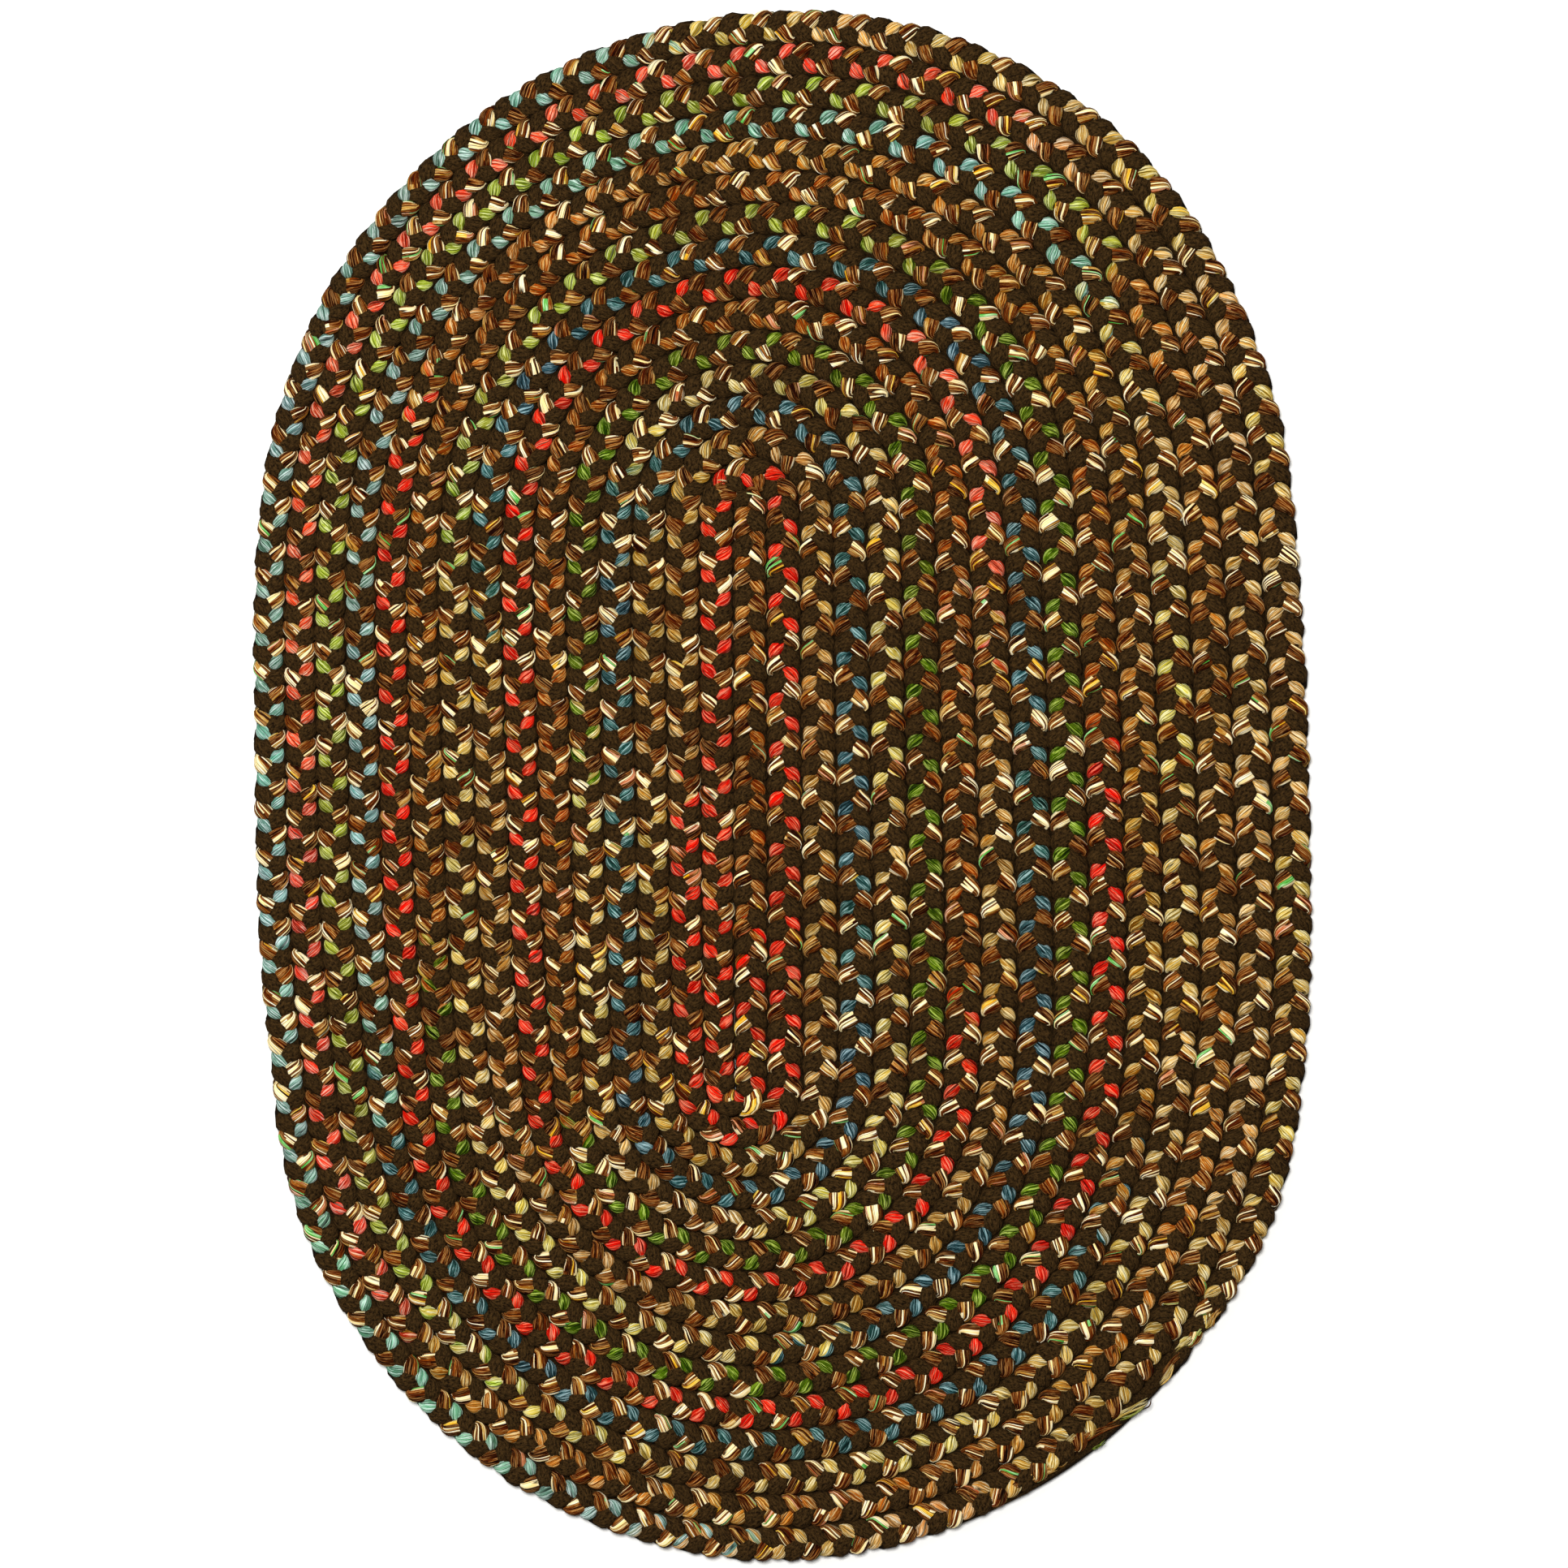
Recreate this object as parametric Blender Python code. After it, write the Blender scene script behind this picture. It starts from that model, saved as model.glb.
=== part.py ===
"""Oval braided rug, as one flat solid.

A flat three-strand braid is wound clockwise around a short straight core and
laced to itself edge to edge, so the rug is a two-centre spiral: straight runs
down the right and up the left, half turns around the two ends of the core.
Each round is a raised double rib, one rib for each column of plaited lobes,
with a seam groove between the rounds on both faces.  The outermost round
tapers away at the lower right, where the braid ends.

The spiral is first laid out even, with rounds of one nominal width, and is
then stretched outwards by a table of the real braid widths around the rug,
which gives the lopsided oval of a rug that was laced by hand.

Metres, +Z up, resting on Z = 0, centred on the bounding box.
"""
import bmesh
import bpy
import numpy as np

MILLIMETRE = 0.001

# Core of the spiral: the straight that the first run of braid lies along
CORE_X = -0.0188
CORE_TOP = 0.1614
CORE_BOTTOM = -0.1748

# Braid
NOMINAL_WIDTH = 0.0190     # width of the even spiral's rounds
THICKNESS = 0.0095         # floor to the crown of a lobe column
MIDDLE_HEIGHT = 0.0087     # dip where the two columns meet
UPPER_GROOVE_HEIGHT = 0.0058
LOWER_GROOVE_HEIGHT = 0.0019
CROWN_PLACE = 0.5          # of the half width, where a column is highest
FLAT_PLACE = 0.6           # of the half width, where the underside lies flat

# Winding
LAST_ROUND = 15            # rounds outside the core run
TAPER_FROM = np.radians(15.0)   # angle around the lower end of the core where
TAPER_TO = np.radians(63.0)     # the last round starts to narrow, and runs out
TAPER_POWER = 1.4               # it thins out faster at first

# Surface
WELD_DISTANCE = 0.0001
SHARP_ANGLE = np.radians(40.0)
WOOL_COLOUR = (0.105, 0.062, 0.030, 1.0)    # warm dark brown, linear
WOOL_ROUGHNESS = 0.95

# Stations along one round
STRAIGHT_STEPS = 5
TURN_STEPS = 20
ROUND_STEPS = 2 * (STRAIGHT_STEPS + TURN_STEPS)

# Real braid widths around the rug, in millimetres.  The place is a share of
# the way round, clockwise from the upper end of the right-hand straight.
STRAIGHT_SHARE = 0.2
TURN_SHARE = 0.3
WIDTHS = [
    # place, at the core, at the rim
    (0.000, 18.7, 21.7),   # right-hand straight, upper end
    (0.100, 19.7, 21.9),
    (0.190, 20.2, 21.1),
    (0.240, 19.0, 20.5),   # lower turn
    (0.290, 18.2, 20.2),
    (0.340, 17.4, 19.2),
    (0.390, 16.8, 18.2),
    (0.440, 16.5, 18.0),
    (0.490, 17.1, 18.1),
    (0.540, 18.2, 18.1),   # left-hand straight
    (0.620, 19.2, 17.6),
    (0.690, 19.7, 16.9),
    (0.730, 18.7, 16.8),   # upper turn
    (0.780, 18.3, 16.9),
    (0.830, 18.3, 17.7),
    (0.880, 18.5, 19.2),
    (0.930, 18.2, 21.0),
    (0.970, 18.4, 21.2),
]


def smooth_around(place, column):
    """Value of a WIDTHS column at a place: a smooth closed curve through it.

    Between two rows it is the cubic that has their values and their slopes.
    The rows are repeated one round before and after, so the curve closes.
    """
    rows = np.array(WIDTHS)
    at = np.concatenate([rows[:, 0] - 1.0, rows[:, 0], rows[:, 0] + 1.0])
    value = np.tile(rows[:, column], 3)
    slope = np.gradient(value, at)
    place = np.mod(place, 1.0)
    left = np.searchsorted(at, place, side="right") - 1
    span = at[left + 1] - at[left]
    t = (place - at[left]) / span
    start = value[left] * (1.0 + 2.0 * t) * (1.0 - t) ** 2
    end = value[left + 1] * t * t * (3.0 - 2.0 * t)
    leave = slope[left] * span * t * (1.0 - t) ** 2
    arrive = slope[left + 1] * span * t * t * (t - 1.0)
    return start + end + leave + arrive


def stretch(x, y):
    """Moves points of the even spiral to where they lie in the real rug.

    A point keeps its nearest point of the core and its direction from it.
    Its distance, counted in nominal widths, becomes the sum of the real
    widths on the way, which change evenly from the core to the rim.
    """
    x, y = np.asarray(x, float), np.asarray(y, float)
    core_y = np.clip(y, CORE_BOTTOM, CORE_TOP)
    off_x, off_y = x - CORE_X, y - core_y
    distance = np.hypot(off_x, off_y)

    down = (CORE_TOP - core_y) / (CORE_TOP - CORE_BOTTOM)
    below, above = y < CORE_BOTTOM, y > CORE_TOP
    angle = np.arctan2(np.abs(off_y), off_x) / np.pi
    place = np.where(off_x >= 0.0, STRAIGHT_SHARE * down,
                     0.5 + STRAIGHT_SHARE * (1.0 - down))
    place = np.where(below, STRAIGHT_SHARE + TURN_SHARE * angle, place)
    place = np.where(above, 1.0 - TURN_SHARE * angle, place)

    rounds = distance / NOMINAL_WIDTH
    at_core = smooth_around(place, 1) * MILLIMETRE
    at_rim = smooth_around(place, 2) * MILLIMETRE
    widening = (at_rim - at_core) / (2.0 * (LAST_ROUND + 0.5))
    real = at_core * rounds + widening * rounds ** 2
    scale = np.divide(real, distance, out=np.ones_like(real), where=distance > 0.0)
    return CORE_X + off_x * scale, core_y + off_y * scale


def width_left(step):
    """Share of its full width that the braid still has at a station."""
    turned = (step - LAST_ROUND * ROUND_STEPS - STRAIGHT_STEPS) / TURN_STEPS * np.pi
    share = np.clip((TAPER_TO - turned) / (TAPER_TO - TAPER_FROM), 0.0, 1.0)
    return share ** TAPER_POWER


def braid_point(step, side):
    """Points on the braid, by station and by side: -1 inner edge, 1 outer.

    The core run goes down the middle.  A half turn around the lower end has
    its centre half a width to the left of the core, one around the upper end
    has it on the core, so each full round moves out by one width.
    """
    step, side = np.broadcast_arrays(np.asarray(step, float), side)
    rounds = np.floor(step / ROUND_STEPS)
    rest = step - rounds * ROUND_STEPS
    across = 0.5 * ((side + 1.0) * width_left(step) - 1.0)

    width = NOMINAL_WIDTH
    core_length = CORE_TOP - CORE_BOTTOM
    lower_turn = STRAIGHT_STEPS
    left_run = lower_turn + TURN_STEPS
    upper_turn = left_run + STRAIGHT_STEPS

    out = (rounds + across) * width
    x = CORE_X + out
    y = CORE_TOP - core_length * rest / STRAIGHT_STEPS

    angle = (rest - lower_turn) / TURN_STEPS * np.pi
    radius = (rounds + 0.5 + across) * width
    here = rest >= lower_turn
    x = np.where(here, CORE_X - 0.5 * width + radius * np.cos(angle), x)
    y = np.where(here, CORE_BOTTOM - radius * np.sin(angle), y)

    out = (rounds + 1.0 + across) * width
    here = rest >= left_run
    x = np.where(here, CORE_X - out, x)
    y = np.where(here, CORE_BOTTOM + core_length * (rest - left_run) / STRAIGHT_STEPS, y)

    angle = (rest - upper_turn) / TURN_STEPS * np.pi
    here = rest >= upper_turn
    x = np.where(here, CORE_X - out * np.cos(angle), x)
    y = np.where(here, CORE_TOP + out * np.sin(angle), y)
    return stretch(x, y)


def add_grid(bm, x, y, z):
    """Adds a surface whose corners are the rows and columns of x, y and z."""
    x, y, z = np.broadcast_arrays(x, y, z)
    rows, columns = x.shape
    corners = [bm.verts.new(p) for p in zip(x.flat, y.flat, z.flat)]
    for row in range(rows - 1):
        for column in range(columns - 1):
            first = row * columns + column
            bm.faces.new((corners[first], corners[first + 1],
                          corners[first + columns + 1], corners[first + columns]))


def add_skin(bm, sides, heights):
    """One face of the rug: the braid's section carried along the spiral.

    Where the braid runs out it thins down to the height of its edges.
    """
    step = np.arange(last_step() + 1)[:, None]
    x, y = braid_point(step, np.array(sides)[None, :])
    edge, height = heights[0], np.array(heights)[None, :]
    add_grid(bm, x, y, edge + (height - edge) * np.sqrt(width_left(step)))


def last_step():
    """Station at which the last round has run out."""
    turned = int(round(TAPER_TO / np.pi * TURN_STEPS))
    return LAST_ROUND * ROUND_STEPS + STRAIGHT_STEPS + turned


def start_cap_arc(share):
    """Half ring around the core's upper end, a share of half a width out."""
    angle = np.linspace(0.0, np.pi, TURN_STEPS + 1)
    radius = share * 0.5 * NOMINAL_WIDTH
    return stretch(CORE_X - radius * np.cos(angle), CORE_TOP + radius * np.sin(angle))


def add_start_cap(bm):
    """Rounded end of the braid inside the first upper turn, on both faces."""
    rings = [(0.0, MIDDLE_HEIGHT), (CROWN_PLACE, THICKNESS), (1.0, UPPER_GROOVE_HEIGHT)]
    arcs = [start_cap_arc(share) for share, _ in rings]
    heights = np.array([height for _, height in rings])[:, None]
    add_grid(bm, np.array([a[0] for a in arcs]), np.array([a[1] for a in arcs]), heights)

    flat_x, flat_y = start_cap_arc(FLAT_PLACE)
    edge_x, edge_y = start_cap_arc(1.0)
    add_grid(bm, np.array([flat_x, edge_x]), np.array([flat_y, edge_y]),
             np.array([0.0, LOWER_GROOVE_HEIGHT])[:, None])
    bm.faces.new([bm.verts.new((px, py, 0.0)) for px, py in zip(flat_x, flat_y)])


def add_rim(bm):
    """Outer wall: the outer edge of the last whole round, top to bottom."""
    step = np.arange(last_step() - ROUND_STEPS, last_step() + 1)[:, None]
    x, y = braid_point(step, 1.0)
    heights = np.array([UPPER_GROOVE_HEIGHT, LOWER_GROOVE_HEIGHT])[None, :]
    add_grid(bm, x, y, heights)


def wool_material():
    """Heathered wool, seen from far off: warm dark brown, fully rough."""
    material = bpy.data.materials.new("braided_wool")
    material.use_nodes = True
    shader = material.node_tree.nodes["Principled BSDF"]
    shader.inputs["Base Color"].default_value = WOOL_COLOUR
    shader.inputs["Roughness"].default_value = WOOL_ROUGHNESS
    shader.inputs["Metallic"].default_value = 0.0
    return material


def make_rug(collection):
    """The whole rug: both skins, the start cap and the outer wall, welded."""
    bm = bmesh.new()
    crown, flat = CROWN_PLACE, FLAT_PLACE
    add_skin(bm, (-1.0, -crown, 0.0, crown, 1.0),
             (UPPER_GROOVE_HEIGHT, THICKNESS, MIDDLE_HEIGHT, THICKNESS, UPPER_GROOVE_HEIGHT))
    add_skin(bm, (-1.0, -flat, flat, 1.0),
             (LOWER_GROOVE_HEIGHT, 0.0, 0.0, LOWER_GROOVE_HEIGHT))
    add_start_cap(bm)
    add_rim(bm)
    bmesh.ops.remove_doubles(bm, verts=bm.verts, dist=WELD_DISTANCE)
    bmesh.ops.recalc_face_normals(bm, faces=bm.faces)

    mesh = bpy.data.meshes.new("rug")
    bm.to_mesh(mesh)
    bm.free()
    mesh.shade_smooth()
    mesh.set_sharp_from_angle(angle=SHARP_ANGLE)
    mesh.materials.append(wool_material())
    collection.objects.link(bpy.data.objects.new("rug", mesh))


def main():
    for old in list(bpy.data.objects):
        bpy.data.objects.remove(old, do_unlink=True)
    collection = bpy.data.collections.new("braided_rug")
    bpy.context.scene.collection.children.link(collection)
    make_rug(collection)


main()
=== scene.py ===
"""Looks of an oval braided rug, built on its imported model.

Three soft strands, one space-dyed, one of tweed yarns and one black-brown,
are plaited flat and the braid is wound into an oval spiral.  Each strand is
a long closed tube with low ridges, parted once.  Metres, +Z up.
"""
from collections import namedtuple

import bmesh
import bpy
import numpy as np
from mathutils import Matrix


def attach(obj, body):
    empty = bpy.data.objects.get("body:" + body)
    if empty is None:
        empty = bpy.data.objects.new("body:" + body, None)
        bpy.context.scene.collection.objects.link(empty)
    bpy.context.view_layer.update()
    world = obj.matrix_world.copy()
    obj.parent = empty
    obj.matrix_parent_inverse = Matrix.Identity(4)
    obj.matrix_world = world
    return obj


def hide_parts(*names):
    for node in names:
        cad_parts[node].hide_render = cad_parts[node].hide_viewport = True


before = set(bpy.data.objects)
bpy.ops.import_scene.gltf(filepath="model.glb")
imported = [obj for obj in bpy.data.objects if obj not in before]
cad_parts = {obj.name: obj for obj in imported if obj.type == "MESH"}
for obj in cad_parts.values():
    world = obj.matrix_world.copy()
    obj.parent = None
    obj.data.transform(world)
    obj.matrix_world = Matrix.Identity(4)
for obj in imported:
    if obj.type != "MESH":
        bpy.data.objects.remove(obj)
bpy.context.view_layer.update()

bl_info = {
    "name": "Braided rug",
    "version": (1, 0, 0),
    "blender": (4, 5, 0),
    "location": "3D View > Sidebar > Braided rug",
    "description": "Plaits and winds a three-strand wool rug",
    "category": "Object",
}

MILLIMETRE = 0.001

# Winding, as in the solid: a straight core, and half turns around its ends
CORE_X = -0.0188
CORE_TOP = 0.1614
CORE_BOTTOM = -0.1748
NOMINAL_WIDTH = 0.0190
LAST_ROUND = 15
TAPER_FROM = np.radians(15.0)
TAPER_TO = np.radians(63.0)
TAPER_POWER = 1.4
STRAIGHT_STEPS = 5
TURN_STEPS = 20
ROUND_STEPS = 2 * (STRAIGHT_STEPS + TURN_STEPS)
LAST_STEP = 762
STRAIGHT_SHARE = 0.2
TURN_SHARE = 0.3
WIDTHS = np.array([
    # place around the rug, braid width at the core and at the rim, mm
    (0.000, 18.7, 21.7), (0.100, 19.7, 21.9), (0.190, 20.2, 21.1),
    (0.240, 19.0, 20.5), (0.290, 18.2, 20.2), (0.340, 17.4, 19.2),
    (0.390, 16.8, 18.2), (0.440, 16.5, 18.0), (0.490, 17.1, 18.1),
    (0.540, 18.2, 18.1), (0.620, 19.2, 17.6), (0.690, 19.7, 16.9),
    (0.730, 18.7, 16.8), (0.780, 18.3, 16.9), (0.830, 18.3, 17.7),
    (0.880, 18.5, 19.2), (0.930, 18.2, 21.0), (0.970, 18.4, 21.2),
])

# Plait
MIDDLE_HEIGHT = 0.00475     # half of the rug's thickness
STATIONS_PER_PITCH = 21
CROWDING = 0.24             # puts more of the stations where a strand is in sight
CROWDING_DELAY = 0.50       # and most just before it turns back, in radians
START_TUCK = 0.0090         # how far the strands go on into the core's end
# Third and fifth harmonic that turn the sine of a strand's swing into a zigzag
ZIGZAG = (0.09, 0.01)
TOP_FLATNESS = 0.04         # keeps a strand up for longer between two dives
EDGE_HEIGHTENING = 0.40     # a strand stands on edge where it turns back
# How a strand lies in the plait: its turn at the start, in degrees; its middle
# above the braid's, in metres; the share of the half width where its skin
# turns back; the radians by which it rises late; how much narrower it is at
# the ends of a lobe, the part in sight, and at the edge; and the seed of its
# unevenness
Lay = namedtuple("Lay", "phase level outer_edge late_rise taper narrowing seed")
SPACE_DYED_LAY = Lay(3.0, 0.0003, 0.92, 0.37, 0.20, 0.62, 11)
TWEED_LAY = Lay(-112.5, 0.0008, 1.02, 0.29, -0.04, 0.56, 21)
BLACK_BROWN_LAY = Lay(-250.0, 0.0, 1.02, -0.60, -0.08, 0.60, 51)
# Shares of the full width between which the tail's dark strand takes up the
# whole width, and where the two lighter strands end
ALONE_FROM = 0.74
ALONE_TO = 0.46
LIGHTER_END = 0.57
RIDGES = 4                  # around a strand
RIDGE_CREST = 1.05          # of its ellipse
RIDGE_TROUGH = 0.94
YARNS = 2 * RIDGES          # colours of their own around the space-dyed strand
EDGE_POWER = 8              # of the swing: only close to the edge is a strand narrow
END_ROUNDING = 0.004        # length in which a strand's end closes
TAIL_WIDTH = 0.92           # of the half width, where the dark strand is alone
TAIL_HEIGHT = 0.0030        # half of its height there
TAIL_PITCH = 0.45           # share of the pitch that is left at the tail's end
# Hand-made unevenness: its length, and the most that it adds to or takes from
# the turn, in radians, and as a share of the swing, the rise and the width
UNEVEN_LENGTH = 0.011
UNEVEN_TURN = 0.17
UNEVEN_SWING = 0.04
UNEVEN_RISE = 0.04
UNEVEN_WIDTH = 0.12
UNEVEN_TWIST_LENGTH = 0.090
UNEVEN_TWIST = 0.35         # turns
PITCH_AROUND = np.array([
    # share of a round by steps, share of the mean pitch
    (0.00, 1.018), (0.05, 1.028), (0.10, 1.000), (0.30, 0.986), (0.50, 0.975),
    (0.55, 0.957), (0.60, 0.975), (0.80, 0.996), (1.00, 1.018),
])

# Where the space-dyed strand changes colour, in rounds from its start
ACCENT_RUNS = [
    (0.00, "copper"), (0.08, "red"), (1.55, "tan"), (2.59, "blue"),
    (3.61, "cream"), (4.56, "green"), (5.48, "copper"), (6.08, "red"),
    (6.88, "coral"), (7.02, "tan"), (7.58, "blue"), (8.26, "cream"),
    (8.60, "light_green"), (8.86, "green"), (9.52, "copper"), (10.05, "red"),
    (10.63, "copper_tan"), (11.13, "blue"), (11.50, "light_blue"),
    (11.93, "cream"), (12.40, "light_green"), (12.93, "copper_tan"),
    (13.43, "coral"), (13.87, "pinkish_tan"), (14.31, "light_blue"),
    (14.77, "light_tan"),
]
RUN_SCATTER = 0.040         # how far one yarn's change is from the others'
RUN_BLEND = 0.012           # length in which one run's colour fades into the next
BLEND_STEPS = 5
YARN_SHADE_LENGTH = 0.012   # each yarn gets lighter and darker, and the strand
YARN_SHADE = 0.28           # as a whole drifts in red, green and blue
STRAND_TINT_LENGTH = 0.070
STRAND_TINT = (0.04, 0.12, 0.10)


# Loose yarn on top of the rug, in bundles.  Start x y z, end x y z and how
# far the middle is to the left of the straight line, mm; yarns; thickness, mm
LOOSE_YARN = [
    # frayed ends along the tail
    (246.0, -312.5, 8.9, 251.5, -301.5, 9.1, 1.0, 5, 0.9, "tweed_tan"),
    (243.0, -309.5, 8.7, 252.0, -299.0, 9.1, -0.8, 4, 0.8, "tweed_brown"),
    (237.0, -322.0, 8.7, 241.5, -312.5, 9.1, 0.8, 3, 0.9, "light_green"),
    (226.5, -325.5, 8.9, 236.5, -317.5, 9.1, 0.9, 4, 1.0, "cream"),
    (218.5, -340.5, 8.5, 229.0, -327.5, 8.9, 0.9, 5, 0.8, "tweed_brown"),
    (217.6, -344.2, 8.5, 225.2, -332.6, 8.9, -0.9, 5, 0.8, "light_tan"),
    (191.8, -364.5, 8.9, 211.5, -354.2, 8.9, 1.0, 4, 1.1, "cream"),
    (193.8, -365.6, 8.7, 209.0, -357.2, 8.9, -0.8, 2, 0.9, "light_green"),
    (207.5, -359.5, 7.7, 212.4, -353.8, 8.1, -1.0, 1, 0.8, "tweed_dark"),
    (170.0, -379.0, 8.5, 193.5, -367.5, 8.7, 1.2, 6, 0.8, "tweed_brown"),
    (172.5, -376.0, 8.9, 181.0, -371.0, 9.1, 0.6, 3, 0.8, "copper"),
    (163.8, -378.6, 8.9, 170.0, -373.6, 9.1, 0.4, 5, 0.9, "light_tan"),
    (177.8, -383.2, 7.3, 185.4, -377.4, 7.7, -0.6, 3, 0.7, "green"),
    (152.6, -393.4, 8.3, 158.4, -388.8, 8.7, 0.5, 4, 0.8, "green"),
    (157.6, -393.6, 7.7, 165.6, -388.4, 7.9, -0.5, 1, 0.8, "tan"),
    (140.4, -400.6, 8.5, 157.6, -393.2, 8.7, 0.9, 6, 0.8, "tweed_tan"),
    (131.2, -407.6, 8.3, 141.0, -399.6, 8.7, 1.6, 4, 0.9, "tweed_brown"),
    (133.0, -408.4, 8.5, 138.0, -401.0, 8.9, -1.4, 1, 0.9, "tweed_cream"),
    # jumble and thread where the braid begins
    (-39.4, 175.6, 9.2, -31.4, 174.8, 9.2, 0.5, 1, 0.9, "tweed_cream"),
    (-39.2, 170.6, 9.0, -31.0, 172.6, 9.0, 0.8, 6, 1.0, "tweed_brown"),
    (-38.6, 169.4, 9.0, -31.8, 169.6, 9.0, -0.6, 3, 0.9, "tweed_tan"),
    (-21.6, 168.4, 9.2, -11.0, 164.4, 9.2, 0.8, 1, 0.9, "tweed_cream"),
    (-20.6, 170.2, 9.0, -13.0, 170.0, 9.0, 0.8, 3, 0.8, "tweed_brown"),
    (-3.2, 176.0, 9.0, 6.4, 167.0, 9.0, 0.9, 6, 1.0, "tweed_brown"),
    (-1.8, 171.6, 9.2, 6.8, 165.8, 9.2, 0.6, 3, 1.1, "tweed_tan"),
]
LOOSE_SPREAD = 0.75         # between two yarns of a bundle, of their thickness
LOOSE_SLIP = 0.12           # of its length, by which a yarn is longer or shorter
LOOSE_WAVE = 0.5            # mm, a yarn's own waviness
LOOSE_TUCK = 2.0            # mm, by which both its ends go down
LOOSE_STATIONS = 11
LOOSE_SIDES = 6


# ---------------------------------------------------------------- colours

def linear(hex_colour):
    """Linear red, green and blue of an sRGB hex colour."""
    value = np.array([int(hex_colour[i:i + 2], 16) for i in (0, 2, 4)]) / 255.0
    return tuple(np.where(value <= 0.04045, value / 12.92,
                          ((value + 0.055) / 1.055) ** 2.4))


def colour_setting(name, description, hex_colour):
    """A colour that a user may change, with its default as an sRGB hex value."""
    return bpy.props.FloatVectorProperty(
        name=name, description=description, subtype="COLOR", size=3,
        min=0.0, max=1.0, default=linear(hex_colour))


def length_setting(name, description, default):
    """A length that a user may change, in metres."""
    return bpy.props.FloatProperty(
        name=name, description=description, unit="LENGTH", precision=4,
        default=default)


class BraidedRugSizes(bpy.types.PropertyGroup):
    """Sizes of the plait and its strands."""

    pitch: length_setting(
        "Pitch", "Length of braid in which a strand comes back to its place", 0.0280)
    rise: length_setting(
        "Rise", "How far a strand passes above and below the middle", 0.00285)
    accent_width: length_setting(
        "Space-dyed width", "Width of the space-dyed strand on top", 0.0083)
    tweed_width: length_setting(
        "Tweed width", "Width of the tweed strand on top", 0.0095)
    dark_width: length_setting(
        "Black-brown width", "Width of the black-brown strand on top", 0.0112)
    accent_height: length_setting(
        "Space-dyed height", "Height of the space-dyed strand on top", 0.0038)
    tweed_height: length_setting(
        "Tweed height", "Height of the tweed strand on top", 0.0052)
    dark_height: length_setting(
        "Black-brown height", "Height of the black-brown strand on top", 0.0050)
    twist_length: length_setting(
        "Twist length", "Length in which a strand's yarns turn once around it", 0.170)


class BraidedRugColours(bpy.types.PropertyGroup):
    """Colours of the wool."""

    red: colour_setting("Red", "Run of the space-dyed strand", "E14C2F")
    coral: colour_setting("Coral", "Run of the space-dyed strand", "E67B5E")
    copper: colour_setting("Copper", "Run of the space-dyed strand", "B2732C")
    copper_tan: colour_setting("Copper tan", "Run of the space-dyed strand", "C89B50")
    tan: colour_setting("Tan", "Run of the space-dyed strand", "C5A25F")
    light_tan: colour_setting("Light tan", "Run of the space-dyed strand", "DAC07D")
    pinkish_tan: colour_setting("Pinkish tan", "Run of the space-dyed strand", "D6B57C")
    cream: colour_setting("Cream", "Run of the space-dyed strand", "DBC784")
    blue: colour_setting("Teal blue", "Run of the space-dyed strand", "5E807F")
    light_blue: colour_setting("Light blue", "Run of the space-dyed strand", "A0BEB1")
    green: colour_setting("Green", "Run of the space-dyed strand", "748722")
    light_green: colour_setting("Light green", "Run of the space-dyed strand", "B5BA5E")
    tweed_cream: colour_setting("Tweed cream", "Yarn of the tweed strand", "FFEFC2")
    tweed_brown: colour_setting("Tweed brown", "Yarn of the tweed strand", "864C17")
    tweed_dark: colour_setting("Tweed dark brown", "Yarn of the tweed strand", "5C310D")
    tweed_copper: colour_setting("Tweed copper", "Yarn of the tweed strand", "A86A26")
    tweed_tan: colour_setting("Tweed tan", "Yarn of the tweed strand", "CCA254")
    tweed_mint: colour_setting("Tweed mint", "Yarn of the tweed strand", "90CE7C")
    tweed_yellow: colour_setting("Tweed yellow", "Yarn of the tweed strand", "F0C84C")
    tweed_pink: colour_setting("Tweed pink", "Yarn of the tweed strand", "D89A70")
    black_brown: colour_setting("Black-brown", "The dark strand", "2B1D0B")
    floor: colour_setting("Floor", "The studio floor", "F4F3F0")


# ---------------------------------------------------------------- winding

def smooth_around(place, column):
    """Closed smooth curve through a WIDTHS column: between two rows, the
    cubic that has their values and their slopes."""
    at = np.concatenate([WIDTHS[:, 0] - 1.0, WIDTHS[:, 0], WIDTHS[:, 0] + 1.0])
    value = np.tile(WIDTHS[:, column], 3)
    slope = np.gradient(value, at)
    place = np.mod(place, 1.0)
    left = np.searchsorted(at, place, side="right") - 1
    span = at[left + 1] - at[left]
    t = (place - at[left]) / span
    return (value[left] * (1.0 + 2.0 * t) * (1.0 - t) ** 2
            + value[left + 1] * t * t * (3.0 - 2.0 * t)
            + slope[left] * span * t * (1.0 - t) ** 2
            + slope[left + 1] * span * t * t * (t - 1.0))


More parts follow.
